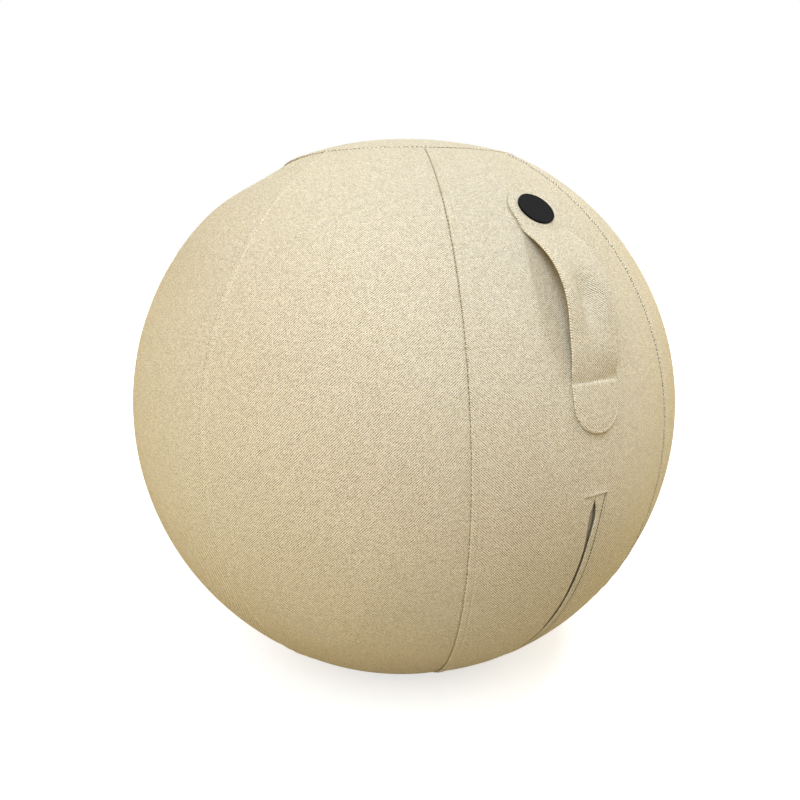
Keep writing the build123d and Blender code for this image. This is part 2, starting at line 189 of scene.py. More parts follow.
def set_inputs(tree, node, inputs):
    """Gives each input a number, a colour or another node's output."""
    for key, value in dict(inputs).items():
        if isinstance(value, bpy.types.NodeSocket):
            tree.links.new(value, node.inputs[key])
        else:
            node.inputs[key].default_value = value


def add_node(tree, kind, inputs=(), **settings):
    node = tree.nodes.new("ShaderNode" + kind)
    for name, value in settings.items():
        setattr(node, name, value)
    set_inputs(tree, node, inputs)
    return node


def math_node(tree, operation, *values):
    return add_node(tree, "Math", enumerate(values), operation=operation).outputs[0]


def mix_value(tree, factor, first, second):
    return add_node(tree, "Mix", {0: factor, 2: first, 3: second}, data_type="FLOAT").outputs[0]


def linear(red, green, blue):
    """Scene-linear colour of a display colour, by the standard display curve."""
    def channel(value):
        value /= 255
        return value / 12.92 if value <= 0.04045 else ((value + 0.055) / 1.055) ** 2.4
    return tuple(channel(v) for v in (red, green, blue))


def ramp(tree, factor, stops):
    """Display colours blended over places from 0 to 1."""
    node = add_node(tree, "ValToRGB", {0: factor})
    while len(node.color_ramp.elements) < len(stops):
        node.color_ramp.elements.new(0.5)
    for element, (place, colour) in zip(node.color_ramp.elements, stops):
        element.position = place
        element.color = (*linear(*colour), 1.0)
    return node.outputs[0]


def white_noise(tree, x, y, seed):
    place = add_node(tree, "CombineXYZ", {0: x, 1: y, 2: seed}).outputs[0]
    return add_node(tree, "TexWhiteNoise", {"Vector": place}, noise_dimensions="3D").outputs["Value"]


def cloud(tree, scale, detail=2.0):
    place = add_node(tree, "TexCoord").outputs["Object"]
    noise = add_node(tree, "TexNoise", {"Vector": place, "Scale": scale, "Detail": detail})
    return noise.outputs["Fac"]


def add_bump(tree, shader, height, strength, distance):
    bump = add_node(tree, "Bump", {"Height": height, "Strength": strength, "Distance": distance})
    set_inputs(tree, shader, {"Normal": bump.outputs[0]})


def twill_material(name, yarn, tones, bump_depth):
    """Two-over-two twill of mixed yarns, on the cloth coordinates of each piece."""
    material, tree, shader = new_material(name)

    def take(operation, *values):
        return math_node(tree, operation, *values)

    def yarn_round(value):
        """Height of a yarn: 1 along its middle, 0 at its sides."""
        centred = take("SUBTRACT", take("FRACT", value), 0.5)
        return take("SUBTRACT", 1.0, take("MULTIPLY", take("POWER", centred, 2.0), 4.0))

    uv = add_node(tree, "UVMap", uv_map="weave").outputs[0]
    split = add_node(tree, "SeparateXYZ", {0: uv})
    across = take("MULTIPLY", split.outputs[0], 1 / yarn)
    along = take("MULTIPLY", split.outputs[1], 1 / yarn)
    wander = take("MULTIPLY", cloud(tree, WANDER_SCALE, detail=0.0), WANDER)
    wobble = take("MULTIPLY", cloud(tree, WOBBLE_SCALE, detail=0.0), WOBBLE)
    across = take("ADD", across, take("ADD", wander, wobble))
    warp = take("FLOOR", across)
    weft = take("FLOOR", along)
    step = take("FLOORED_MODULO", take("ADD", warp, weft), TWILL_REPEAT)
    warp_up = take("LESS_THAN", step, TWILL_OVER)
    height = mix_value(tree, warp_up, yarn_round(along), yarn_round(across))

    warp_tone = white_noise(tree, warp, take("FLOOR", take("DIVIDE", along, TONE_RUN)), seed=1.0)
    weft_tone = white_noise(tree, take("FLOOR", take("DIVIDE", across, TONE_RUN)), weft, seed=2.0)
    fleck = white_noise(tree, warp, weft, seed=3.0)
    tone = mix_value(tree, warp_up, weft_tone, warp_tone)
    tone = mix_value(tree, FLECK_SHARE, tone, fleck)
    line = take("MULTIPLY", warp_up, LINE_SHARE)
    tone = take("ADD", take("MULTIPLY", tone, 1 - LINE_SHARE), line)
    drift = take("MULTIPLY", take("SUBTRACT", cloud(tree, DRIFT_SCALE), 0.5), DRIFT)
    tone = take("ADD", tone, drift)
    set_inputs(tree, shader, {
        "Base Color": ramp(tree, tone, tones),
        "Roughness": 0.92,
        "Specular IOR Level": 0.18,
        "Sheen Weight": 0.15,
        "Sheen Roughness": 0.45,
        "Sheen Tint": (*linear(*SHEEN_TINT), 1.0),
    })
    add_bump(tree, shader, height, strength=0.9, distance=bump_depth)
    return material


def thread_material(name, dark, light):
    """Twisted sewing thread: slanted plies with a little change from stitch to stitch."""
    material, tree, shader = new_material(name)
    place = add_node(tree, "TexCoord").outputs["Object"]
    wave = add_node(tree, "TexWave", {"Vector": place, "Scale": PLY_SCALE}, bands_direction="DIAGONAL")
    plies = wave.outputs["Fac"]
    tone = mix_value(tree, 0.5, plies, cloud(tree, THREAD_CHANGE_SCALE))
    colour = ramp(tree, tone, [(0.2, dark), (0.8, light)])
    set_inputs(tree, shader, {"Base Color": colour, "Roughness": 0.6})
    add_bump(tree, shader, plies, strength=0.5, distance=PLY_DEPTH)
    return material


def moulded_material(name, dark, light, roughness, grain, depth, specular=0.5):
    """Moulded plastic or painted metal with a fine grain and slightly uneven gloss."""
    material, tree, shader = new_material(name)
    patch = cloud(tree, PATCH_SCALE, detail=4.0)
    colour = ramp(tree, patch, [(0.3, dark), (0.7, light)])
    low, high = roughness - GLOSS_CHANGE, roughness + GLOSS_CHANGE
    gloss = add_node(tree, "MapRange", {"Value": patch, "To Min": low, "To Max": high}).outputs[0]
    set_inputs(tree, shader, {"Base Color": colour, "Roughness": gloss, "Specular IOR Level": specular})
    add_bump(tree, shader, cloud(tree, grain, detail=3.0), strength=0.35, distance=depth)
    return material


CLOTH = twill_material(
    "cover_twill",
    yarn=0.58 * MM,
    tones=[
        (0.08, (108, 93, 66)),
        (0.32, (192, 176, 145)),
        (0.60, (237, 226, 201)),
        (0.95, (252, 246, 232)),
    ],
    bump_depth=0.35 * MM,
)
BASE_CLOTH = twill_material(
    "base_twill",
    yarn=1.1 * MM,
    tones=[(0.1, (62, 56, 48)), (0.5, (98, 90, 76)), (0.95, (128, 119, 102))],
    bump_depth=0.5 * MM,
)
TAPE_CLOTH = twill_material(
    "zip_tape_weave",
    yarn=0.5 * MM,
    tones=[(0.1, (190, 176, 146)), (0.5, (214, 202, 172)), (0.95, (228, 218, 192))],
    bump_depth=0.2 * MM,
)
# Seam thread tones are darker than the cloth: painted shade of the seam grooves and needle holes
SEAM_THREAD_PAINTED_SHADE = thread_material("seam_thread", (100, 86, 60), (142, 126, 94))
# Lip thread tones are darker still: painted shade of the stitched groove on the right-hand lip
LIP_THREAD_PAINTED_SHADE = thread_material("lip_thread", (62, 52, 34), (94, 81, 56))
TOP_THREAD = thread_material("topstitch_thread", (206, 192, 158), (240, 231, 208))

# Dark and light colour, roughness, scale of the grain and its depth
SKIN = moulded_material("inner_skin", (104, 108, 114), (124, 129, 136), 0.5, 380.0, 0.2 * MM)
VALVE = moulded_material("valve_plastic", (222, 222, 216), (236, 236, 231), 0.4, 500.0, 0.1 * MM)
ZIP_PLASTIC = moulded_material("zip_plastic", (160, 146, 116), (182, 168, 136), 0.5, 700.0, 0.1 * MM)
ZIP_METAL = moulded_material("zip_metal", (112, 104, 88), (140, 131, 112), 0.38, 420.0, 0.05 * MM)
BADGE = moulded_material("badge_plastic", (8, 6, 4), (14, 11, 8), 0.55, 900.0, 0.08 * MM, specular=0.04)
DOT_RUBBER = moulded_material("grip_rubber", (38, 35, 31), (52, 48, 43), 0.7, 600.0, 0.1 * MM)


# Cover form

# Seam grooves, and the wider draw of the cloth beside them
SEAM_DEPTH = 0.8 * MM
SEAM_HALF = 1.3 * MM
DRAW_DEPTH = 0.6 * MM
DRAW_HALF = 13 * MM

# Folded seam allowance on the right of each seam, with its topstitching
FELL_WIDTH = 9.0 * MM
FELL_FLAT = 0.4 * FELL_WIDTH
FELL_EDGE = 0.8 * MM
FELL_RISE = 1.1 * MM
TOPSTITCH_AT = 7.6 * MM
TOPSTITCH_HALF = 1.0 * MM
TOPSTITCH_DIP = 0.35 * MM

# Puckers along the seams, and slow unevenness
PUCKER = 0.28 * MM
PUCKER_WAVE = 23 * MM
PUCKER_REACH = 15 * MM
PUCKER_SHIFT = 3
PUCKER_UNEVEN = 1.3
PUCKER_UNEVEN_RATE = 37
SWELL = 0.5 * MM

# Slack place on one shoulder, and the fuller crown
SAG_DEPTH = 7.2 * MM
SAG_LON, SAG_LON_HALF = math.radians(-106), math.radians(28)
SAG_LAT, SAG_LAT_HALF = math.radians(60), math.radians(9)
SLACK_POWER = 3
CROWN_EXTRA = 5.0 * MM

# Distances of mesh rows and columns from a side seam, a panel's end, a disc's seam and the window
EDGE_STEPS = MM * np.array(
    [0, 0.5, 1.0, 1.6, 2.3, 3.2, 4.4, 5.6, 6.6, 7.2, 7.7, 8.3, 9.2, 10.5, 12.5, 15.5, 20, 26, 34]
)
END_STEPS = MM * np.array([0, 0.5, 1.0, 1.6, 2.4, 3.4, 5.0, 7.5, 11.0, 15.0])
DISC_STEPS = MM * np.array(
    [0, 0.5, 1.0, 1.6, 2.4, 3.4, 4.6, 5.8, 6.8, 7.6, 8.4, 9.6, 11.5, 15.0, 20.0]
)
WINDOW_STEPS = MM * np.array([0, 0.5, 1.1, 1.8, 2.8, 4.2])
RIM_STEPS = MM * np.array([0.5, 1.2, 2.2])

# Mesh rows and columns between them, and the most of a panel's half that the side columns take
PANEL_ROWS, PANEL_COLUMNS = 201, 17
WINDOW_ROWS, WINDOW_COLUMNS = 120, 9
WINDOW_ROW_MARGIN = 0.004
PLAIN_EDGE_SHARE = 0.85
FRONT_EDGE_SHARE = 0.45
DISC_ROWS, DISC_COLUMNS = 24, 192
DISC_START = 4 * MM
DISC_TURN = np.linspace(0, 2 * math.pi, DISC_COLUMNS, endpoint=False)[None, :]

# Edge of the window: drawn in at its sides, a welt over its top, and cloth turned inwards
WINDOW_DIP = 0.1 * MM
WINDOW_DIP_HALF = 1.0 * MM
WELT_RISE = 1.2 * MM
WELT_AT = 1.4 * MM
WELT_HALF = 1.3 * MM
WELT_SIDE = 1.0 * MM
TURNED_IN = 3.0 * MM
HAIR = 1e-6

# Base panel and its grip dots, each a stack of rings given by share of radius and drop
BASE_FLAT_R = 85 * MM
BASE_LIFT = 0.8 * MM
BASE_SEAM_Z = BALL_Z - BALL_R * math.sin(SEAM_LAT)
DOT_R = 2.2 * MM
DOT_STEP = 11 * MM
DOT_MARGIN = 14 * MM
DOT_SIDES = 12
DOT_RINGS = ((1.0, -0.2 * MM), (0.9, 0.45 * MM), (0.6, BASE_LIFT - 0.02 * MM))


def groove_form(distance, half):
    """The groove of a seam, with the draw of the cloth beside it."""
    return -SEAM_DEPTH * bell(distance, half) - DRAW_DEPTH * bell(distance, DRAW_HALF)


def seam_form(distance, run, seed, half):
    """How far the cloth stands off the ball this far from a seam, for a groove of this half width."""
    uneven = PUCKER_UNEVEN * np.sin(run * PUCKER_UNEVEN_RATE + seed)
    pucker = PUCKER * np.sin(2 * math.pi * run / PUCKER_WAVE + seed + uneven)
    return groove_form(distance, half) + pucker * np.exp(-distance / PUCKER_REACH)


def fell_form(distance):
    """Extra height over the folded seam allowance, with the dip of its topstitching."""
    rise = FELL_RISE * (1 - ease((distance - FELL_FLAT) / FELL_WIDTH)) * ease(distance / FELL_EDGE)
    return rise - TOPSTITCH_DIP * bell(distance - TOPSTITCH_AT, TOPSTITCH_HALF)


def swell(lon, lat):
    """Slow unevenness of the stretched cloth, from two crossing waves."""
    first = np.sin(3 * lon + 2.1 * lat + 0.4)
    second = np.sin(2.3 * lat - 1.7 * lon + 1.1)
    return SWELL * first * second


def sag(lon, lat):
    """A slack place on one shoulder, where the ball is a little less than round."""
    turn = (lon - SAG_LON + math.pi) % (2 * math.pi) - math.pi
    return SAG_DEPTH * bell(turn, SAG_LON_HALF) * bell(lat - SAG_LAT, SAG_LAT_HALF)


def cover_offset(lon, lat, left_lon, right_lon):
    """The cloth's height over the ball on a panel between these two seams."""
    run = BALL_R * lat
    left = BALL_R * np.cos(lat) * (lon - left_lon)
    right = BALL_R * np.cos(lat) * (right_lon - lon)
    ends = BALL_R * (SEAM_LAT - np.abs(lat))
    offset = seam_form(left, run, PUCKER_SHIFT * left_lon, FELL_EDGE / 2)
    offset = offset + seam_form(right, run, PUCKER_SHIFT * right_lon, SEAM_HALF)
    offset = offset + fell_form(left)
    offset = offset - SEAM_DEPTH * bell(ends, SEAM_HALF) - DRAW_DEPTH * bell(ends, DRAW_HALF)
    return np.maximum(offset, -SEAM_DEPTH - DRAW_DEPTH) + swell(lon, lat) - sag(lon, lat)


def panel_rows():
    """Latitudes of a panel's rows, closer together beside the round seams."""
    near = END_STEPS / BALL_R
    middle = np.linspace(-SEAM_LAT + near[-1], SEAM_LAT - near[-1], PANEL_ROWS)[1:-1]
    return np.concatenate([-SEAM_LAT + near, middle, (SEAM_LAT - near)[::-1]])


def panel_sides(lat, share, taken):
    """The ball's radius at a latitude, half a panel's width, and distances of columns from its seam."""
    girth = BALL_R * np.cos(lat)
    half = girth * PANEL_STEP / 2
    shrink = np.minimum(1.0, share * (half - taken) / EDGE_STEPS[-1])
    return girth, half, EDGE_STEPS[None, :] * shrink


def declare_panel(piece):
    return piece


def plain_panel(number):
    """One upright panel between two seams."""
    middle = number * PANEL_STEP
    left_lon, right_lon = middle - PANEL_STEP / 2, middle + PANEL_STEP / 2
    lat = panel_rows()[:, None]
    girth, half, edge = panel_sides(lat, PLAIN_EDGE_SHARE, 0)
    inner = (half - edge[:, -1:]) * np.linspace(-1, 1, PANEL_COLUMNS)[None, 1:-1]
    across = np.concatenate([-half + edge, inner, (half - edge)[:, ::-1]], axis=1)
    lon = middle + across / girth
    points = on_ball(lon, lat, BALL_R + cover_offset(lon, lat, left_lon, right_lon))
    faces = grid_faces(*across.shape)
    uv = cloth_uv(-across, lat)
    return declare_panel(make_object(f"cover_panel_{number + 1}", points, faces, CLOTH, uv))


def front_panel():
    """The panel with the handle, cut open for the zip."""
    left_lon, right_lon = -PANEL_STEP / 2, PANEL_STEP / 2
    base = panel_rows()
    outside = base[(base > ZIP_TOP + WINDOW_ROW_MARGIN) | (base < ZIP_END - WINDOW_ROW_MARGIN)]
    inside = np.linspace(ZIP_END, ZIP_TOP, WINDOW_ROWS)
    rim = RIM_STEPS / BALL_R
    lat = np.sort(np.concatenate([outside, inside, ZIP_TOP + rim, ZIP_END - rim]))[:, None]

    # Columns: the window in the middle, and the same steps on both sides of it
    girth, half, edge = panel_sides(lat, FRONT_EDGE_SHARE, WINDOW_HALF)
    slit = girth * np.arcsin(WINDOW_HALF / girth)
    gap_low = slit + WINDOW_STEPS[-1]
    gap_high = half - edge[:, -1:]
    fill = gap_low + (gap_high - gap_low) * np.linspace(0, 1, WINDOW_COLUMNS)[None, 1:-1]
    right = np.concatenate([slit + WINDOW_STEPS[None, :], fill, (half - edge)[:, ::-1]], axis=1)
    middle = slit * np.linspace(-1, 1, WINDOW_COLUMNS)[None, 1:-1]
    across = np.concatenate([-right[:, ::-1], middle, right], axis=1)

    # Form of the cloth
    lon = across / girth
    radius = BALL_R + cover_offset(lon, lat, left_lon, right_lon)
    in_window = ((lat <= ZIP_TOP + HAIR) & (lat >= ZIP_END - HAIR)) * 1.0
    from_slit = np.maximum(np.abs(across) - slit, 0)
    radius = radius - in_window * WINDOW_DIP * bell(from_slit, WINDOW_DIP_HALF)
    over_top = BALL_R * (lat - ZIP_TOP)
    welt = np.where(over_top >= 0, bell(over_top - WELT_AT, WELT_HALF), 0)
    radius = radius + WELT_RISE * (welt * (np.abs(across) < slit + WELT_SIDE))
    points = on_ball(lon, lat, radius).reshape(-1, 3)
    uv = cloth_uv(across, lat).reshape(-1, 2)

    # The window, and its edge turned inwards
    rows, columns = across.shape
    first, last = right.shape[1] - 1, right.shape[1] + middle.shape[1]
    low = int(np.argmin(np.abs(lat[:, 0] - ZIP_END)))
    high = int(np.argmin(np.abs(lat[:, 0] - ZIP_TOP)))

    def hole(i, j):
        return low <= i < high and first <= j < last

    faces = grid_faces(rows, columns, hole)
    loop = [(low, j) for j in range(first, last + 1)]
    loop += [(i, last) for i in range(low + 1, high + 1)]
    loop += [(high, j) for j in range(last - 1, first - 1, -1)]
    loop += [(i, first) for i in range(high - 1, low, -1)]
    ring = [i * columns + j for i, j in loop]
    turned = BALL_CENTRE + (points[ring] - BALL_CENTRE) * (1 - TURNED_IN / BALL_R)
    start = len(points)
    points = np.concatenate([points, turned])
    uv = np.concatenate([uv, uv[ring]])
    for k in range(len(ring)):
        n = (k + 1) % len(ring)
        faces.append((ring[k], start + k, start + n, ring[n]))
    return declare_panel(make_object("cover_panel_1", points, faces, CLOTH, uv))


def cap_profile(reach):
    """Height of the top panel's crown at a distance from the ball's axis."""
    crown = POLE_Z + CROWN_EXTRA
    rise = crown - TOP_SEAM_Z
    bend = (SEAM_RING_R**2 + rise**2) / (2 * rise)
    return crown - bend + np.sqrt(bend**2 - reach**2)


def disc_reaches():
    """Distances of a round panel's rows from the axis, closer together beside its seam."""
    inner = np.linspace(DISC_START, SEAM_RING_R - DISC_STEPS[-1], DISC_ROWS)[:-1]
    return np.concatenate([inner, (SEAM_RING_R - DISC_STEPS)[::-1]])[:, None]


def disc_piece(name, heights, material, upward):
    """A round panel from the heights of its rows."""
    reach = disc_reaches()
    x, y = reach * np.sin(DISC_TURN), -reach * np.cos(DISC_TURN)
    points = np.stack([x, y, np.broadcast_to(heights, x.shape)], axis=-1).reshape(-1, 3)
    uv = np.stack([x, y], axis=-1).reshape(-1, 2)
    faces = grid_faces(len(reach), DISC_COLUMNS, closed=True)
    tip = len(points)
    points = np.concatenate([points, [[0, 0, float(np.mean(heights[0]))]]])
    uv = np.concatenate([uv, [[0, 0]]])
    faces += [(tip, (j + 1) % DISC_COLUMNS, j) for j in range(DISC_COLUMNS)]
    piece = make_object(name, points, flipped(faces) if upward else faces, material, uv)
    return piece


def top_panel():
    reach = disc_reaches()
    from_seam = SEAM_RING_R - reach
    pucker = PUCKER * np.sin(2 * math.pi * SEAM_RING_R * DISC_TURN / PUCKER_WAVE)
    pucker = pucker * np.exp(-from_seam / PUCKER_REACH)
    slack = sag(DISC_TURN, SEAM_LAT) * math.sin(SEAM_LAT) * (reach / SEAM_RING_R) ** SLACK_POWER
    heights = cap_profile(reach) + groove_form(from_seam, SEAM_HALF) + pucker
    heights = heights + fell_form(from_seam) - slack
    return disc_piece("top_panel_cloth", heights, CLOTH, True)


def base_height(reach):
    """Underside of the base panel: flat in the middle, then curving up to its seam."""
    out = SEAM_RING_R - BASE_FLAT_R
    bend = (out**2 + BASE_SEAM_Z**2) / (2 * BASE_SEAM_Z)
    past = np.maximum(reach - BASE_FLAT_R, 0)
    return BASE_LIFT + bend - np.sqrt(bend**2 - past**2)


def base_panel():
    reach = disc_reaches()
    heights = base_height(reach) - groove_form(SEAM_RING_R - reach, SEAM_HALF)
    return disc_piece("base_panel_cloth", heights, BASE_CLOTH, False)


def base_dots():
    """Rubber grip dots on the base panel, domed and flattened by the floor."""
    points, faces = [], []
    count = int(SEAM_RING_R / DOT_STEP) + 1
    for i in range(-count, count + 1):
        for j in range(-count, count + 1):
            x = (i + 0.5 * (j % 2)) * DOT_STEP
            y = j * DOT_STEP * math.sqrt(3) / 2
            reach = math.hypot(x, y)
            if reach > SEAM_RING_R - DOT_MARGIN:
                continue
            z = float(base_height(np.array(reach)))
            start = len(points)
            for share, drop in DOT_RINGS:
                for k in range(DOT_SIDES):
                    t = 2 * math.pi * k / DOT_SIDES
                    aside, ahead = share * DOT_R * math.cos(t), share * DOT_R * math.sin(t)
                    points.append((x + aside, y + ahead, z - drop))
            for ring in range(len(DOT_RINGS) - 1):
                low = start + ring * DOT_SIDES
                for k in range(DOT_SIDES):
                    a, b = low + k, low + (k + 1) % DOT_SIDES
                    faces.append((b, a, a + DOT_SIDES, b + DOT_SIDES))
            top = start + (len(DOT_RINGS) - 1) * DOT_SIDES
            faces.append(tuple(top + k for k in reversed(range(DOT_SIDES))))
    return make_object("base_grip_dots", points, faces, DOT_RUBBER)


# Stitches

# One stitch, as rings given by place along it and by share of its thickness
STITCH_RING = np.array([(-1.0, 0.0), (-0.82, 0.62), (-0.3, 1.0), (0.3, 1.0), (0.82, 0.62), (1.0, 0.0)])
STITCH_SIDES = 6
STITCH_TIP = 0.05

# Length, gap and thickness of the stitches in each kind of row
SEAM_STITCH = (2.9 * MM, 1.7 * MM, 0.7 * MM)
TOPSTITCH = (3.4 * MM, 0.9 * MM, 0.75 * MM)
ROUND_STITCH = (2.6 * MM, 1.9 * MM, 0.8 * MM)
LIP_STITCH = (3.1 * MM, 0.5 * MM, 1.2 * MM)
STRAP_STITCH = (2.3 * MM, 0.9 * MM, 0.6 * MM)

# Where the rows lie beside an upright seam and over the cloth, and in a round seam
GROOVE_ASIDE = -0.4 * MM
GROOVE_LIFT = 0.55 * MM
TOPSTITCH_LIFT = 0.12 * MM
ROUND_DEPTH = SEAM_DEPTH * 0.55
SEAM_PATH_MARGIN = 5 * MM
SEAM_PATH_POINTS = 260
RING_POINTS = 361


def stitch_mesh(name, paths, stitch, material):
    """Rows of separate stitches along paths; each path is points with the cloth's normals."""
    length, gap, thick = stitch
    points, faces = [], []
    turn = 2 * math.pi * np.arange(STITCH_SIDES) / STITCH_SIDES
    for path, normals in paths:
        run = run_along(path)
        count = max(1, int(run[-1] / (length + gap)))
        pitch = run[-1] / count
        for k in range(count):
            middle = (k + 0.5) * pitch
            here = at_run(middle, run, path)
            ahead = at_run(middle + length / 2, run, path) - at_run(middle - length / 2, run, path)
            ahead /= np.linalg.norm(ahead)
            up = at_run(middle, run, normals)
            up -= ahead * up.dot(ahead)
            up /= np.linalg.norm(up)
            sideways = np.cross(ahead, up)
            start = len(points)
            for place, size in STITCH_RING:
                centre = here + ahead * place * length / 2
                size = max(size, STITCH_TIP) * thick / 2
                for t in turn:
                    points.append(centre + size * (math.cos(t) * sideways + math.sin(t) * up))
            for ring in range(len(STITCH_RING) - 1):
                low = start + ring * STITCH_SIDES
                for s in range(STITCH_SIDES):
                    a, b = low + s, low + (s + 1) % STITCH_SIDES
                    faces.append((a, b, b + STITCH_SIDES, a + STITCH_SIDES))
    return make_object(name, points, faces, material)


def seam_path(number, aside, lift):
    """A line beside an upright seam, this far to its right, on the cloth."""
    left_lon = (number - 0.5) * PANEL_STEP
    margin = SEAM_PATH_MARGIN / BALL_R
    lat = np.linspace(-SEAM_LAT + margin, SEAM_LAT - margin, SEAM_PATH_POINTS)
    girth = BALL_R * np.cos(lat)
    seat = left_lon + max(aside, 0.0) / girth
    radius = BALL_R + cover_offset(seat, lat, left_lon, left_lon + PANEL_STEP) + lift
    points = on_ball(left_lon + aside / girth, lat, radius)
    return points, unit(points - BALL_CENTRE)


def ring_path(height, up):
    """The line of a round seam; the upper one follows the slack place."""
    turn = np.linspace(0, 2 * math.pi, RING_POINTS)
    slack = sag(turn, SEAM_LAT) * math.sin(SEAM_LAT) if up > 0 else 0 * turn
    points = [SEAM_RING_R * np.sin(turn), -SEAM_RING_R * np.cos(turn), height - slack]
    return np.stack(points, axis=-1), np.tile([0.0, 0.0, up], (len(turn), 1))


# Zip

# Slit between the lips: an eye over the slider, a parting below the top, a small sideways run
SLIT_HALF = 0.25 * MM
PART_HALF = 1.62 * MM
PART_DEG, PART_RUN_DEG = -4.8, 2.2
EYE_HALF = 2.2 * MM
EYE_DEG, EYE_ABOVE_DEG, EYE_BELOW_DEG = -8.4, 1.5, 3.6
SHIFT = 0.25 * MM
SHIFT_DEG, SHIFT_RUN_DEG = -6.0, 6

# Lips: shares of their width from the window's edge to the fold, and the cloth tucked under
LIP_ROWS = 190
LIP_TOP = np.concatenate([np.linspace(0, 0.85, 30), np.linspace(0.87, 1, 12)])
LIP_UNDER = np.array([(1.0, -0.80), (0.985, -1.20), (0.95, -1.48), (0.86, -1.58), (0.0, -1.58)])
LIP_CLEAR = 0.2 * MM
LIP_BEND = 1.4 * MM
LIP_BEND_DROP = 0.8 * MM
LIP_PUFF, LIP_PUFF_RUN = 0.3 * MM, 4 * MM
LIP_PUFF_ROOT = 4
LIP_RIPPLE, LIP_RIPPLE_RUN = 0.15 * MM, 9 * MM
LIP_SUNK = 0.1 * MM
LIP_END_DIP, LIP_END_HALF = 0.9 * MM, 1.3 * MM

# Stitched row on the right-hand lip
ROW_AT = 9.4 * MM
ROW_FLARE, ROW_FLARE_DEG = 4.0 * MM, 2.6
ROW_DIP, ROW_DIP_HALF = 1.0 * MM, 0.75 * MM
ROW_STEP = 0.35 * MM
ROW_SUNK = 0.1 * MM
ROW_MARGIN = 0.004
ROW_POINTS = 160

# Tapes
TAPE_ROWS = 90
TAPE_R = BALL_R - 6.3 * MM
TAPE_T = 0.6 * MM
TAPE_IN = 3.4 * MM
TAPE_OUT = WINDOW_HALF - 0.3 * MM


def lip_opening(lat):
    """Half the slit between the lips: an eye over the slider, then nearly closed."""
    deg = np.degrees(lat)
    eye = EYE_HALF * bell(deg - EYE_DEG, np.where(deg > EYE_DEG, EYE_ABOVE_DEG, EYE_BELOW_DEG))
    parting = ease((PART_DEG - deg) / PART_RUN_DEG)
    return (SLIT_HALF + PART_HALF * parting) + eye * parting


def slit_shift(lat):
    """The slit's small sideways run below its eye."""
    return SHIFT * ease((SHIFT_DEG - np.degrees(lat)) / SHIFT_RUN_DEG)


def lip_row(lat):
    """How far the stitched line of the right-hand lip runs from the zip's middle."""
    return ROW_AT + ROW_FLARE * np.exp((np.degrees(lat) - math.degrees(ZIP_TOP)) / ROW_FLARE_DEG)


def zip_strip(name, across, lat, reach, flip, material, smooth=True):
    """A strip of cloth along the zip, cut this wide."""
    faces = grid_faces(*across.shape)
    if flip:
        faces = flipped(faces)
    points = on_strip(across, lat, reach)
    piece = make_object(name, points, faces, material, cloth_uv(across, lat), smooth)
    return piece


def zip_lip(name, side):
    """One lip: cloth folded at the slit and tucked under; the right-hand one is stitched down."""
    lat = np.linspace(ZIP_END + ZIP_MARGIN, ZIP_TOP - ZIP_MARGIN, LIP_ROWS)[:, None]
    share = np.concatenate([LIP_TOP, LIP_UNDER[:, 0]])[None, :]
    upper = np.concatenate([np.ones(len(LIP_TOP)), np.zeros(len(LIP_UNDER))])[None, :]
    under = np.concatenate([np.zeros(len(LIP_TOP)), LIP_UNDER[:, 1] * MM])[None, :]
    wide = WINDOW_HALF - LIP_CLEAR - lip_opening(lat) - side * slit_shift(lat)
    across = WINDOW_HALF - LIP_CLEAR - share * wide
    from_fold = (1 - share) * wide
    turn = 1 - np.clip(from_fold / LIP_BEND, 0, 1)
    face = LIP_PUFF * ease(from_fold / LIP_PUFF_RUN) * ease(share * LIP_PUFF_ROOT)
    face = face - LIP_BEND_DROP * (1 - np.sqrt(1 - turn**2))
    face = face + LIP_RIPPLE * np.sin(BALL_R * lat / LIP_RIPPLE_RUN + side) * share - LIP_SUNK
    face = face - LIP_END_DIP * bell(BALL_R * (ZIP_TOP - lat), LIP_END_HALF)
    if side > 0:
        face = face - ROW_DIP * bell(across - lip_row(lat), ROW_DIP_HALF)
        face = face + ROW_STEP * (across < lip_row(lat))
    reach = np.sqrt(BALL_R**2 - across**2) + upper * face + under
    return zip_strip(name, side * across, lat, reach, side > 0, CLOTH)


def zip_tape(name, side):
    """One tape, swept along the zip."""
    lat = np.linspace(ZIP_END + ZIP_MARGIN, ZIP_TOP - ZIP_MARGIN, TAPE_ROWS)[:, None]
    section = np.array([(TAPE_IN, -1), (TAPE_IN, 1), (TAPE_OUT, 1), (TAPE_OUT, -1), (TAPE_IN, -1)])
    across = np.broadcast_to(section[None, :, 0], (len(lat), len(section)))
    reach = TAPE_R + section[None, :, 1] * TAPE_T / 2
    return zip_strip(name, side * across, lat, reach, side < 0, TAPE_CLOTH, smooth=False)


def lip_stitch_path():
    """The stitched row that holds the right-hand lip down."""
    lat = np.linspace(ZIP_END + ROW_MARGIN, ZIP_TOP - ROW_MARGIN, ROW_POINTS)
    across = lip_row(lat)
    reach = np.sqrt(BALL_R**2 - across**2) - ROW_SUNK
    return on_strip(across, lat, reach), on_strip(0 * lat, lat, 1.0 + 0 * lat) - BALL_CENTRE


# Handle

# Line of the strap from the side: two seats on the ball, two creases and a knee between them
STRAP_T = 3.0 * MM
STRAP_SEAT_R = BALL_R + 0.3 * MM
LOWER_TAB = math.radians(10.8)
LOWER_CREASE = math.radians(14.0)
KNEE_LAT = math.radians(30.1)
KNEE_RISE = 26.3 * MM
KNEE_BEND = 82 * MM
UPPER_CREASE = math.radians(40.3)
UPPER_TAB = math.radians(44.5)
CREASE_BEND = 20 * MM
CREASE_REACH = 6 * MM
BEND_STEPS = 12
SEAT_STEP = 1.0 * MM
FREE_STEP = 1.5 * MM
LEAST_STEP = 0.2 * MM

# Edge of the strap, and the row of stitches inside it
STRAP_ROUND = 1.9 * MM
STITCHES_AT = 3.2 * MM
STITCHES_DIP, STITCHES_HALF = 0.45 * MM, 1.1 * MM

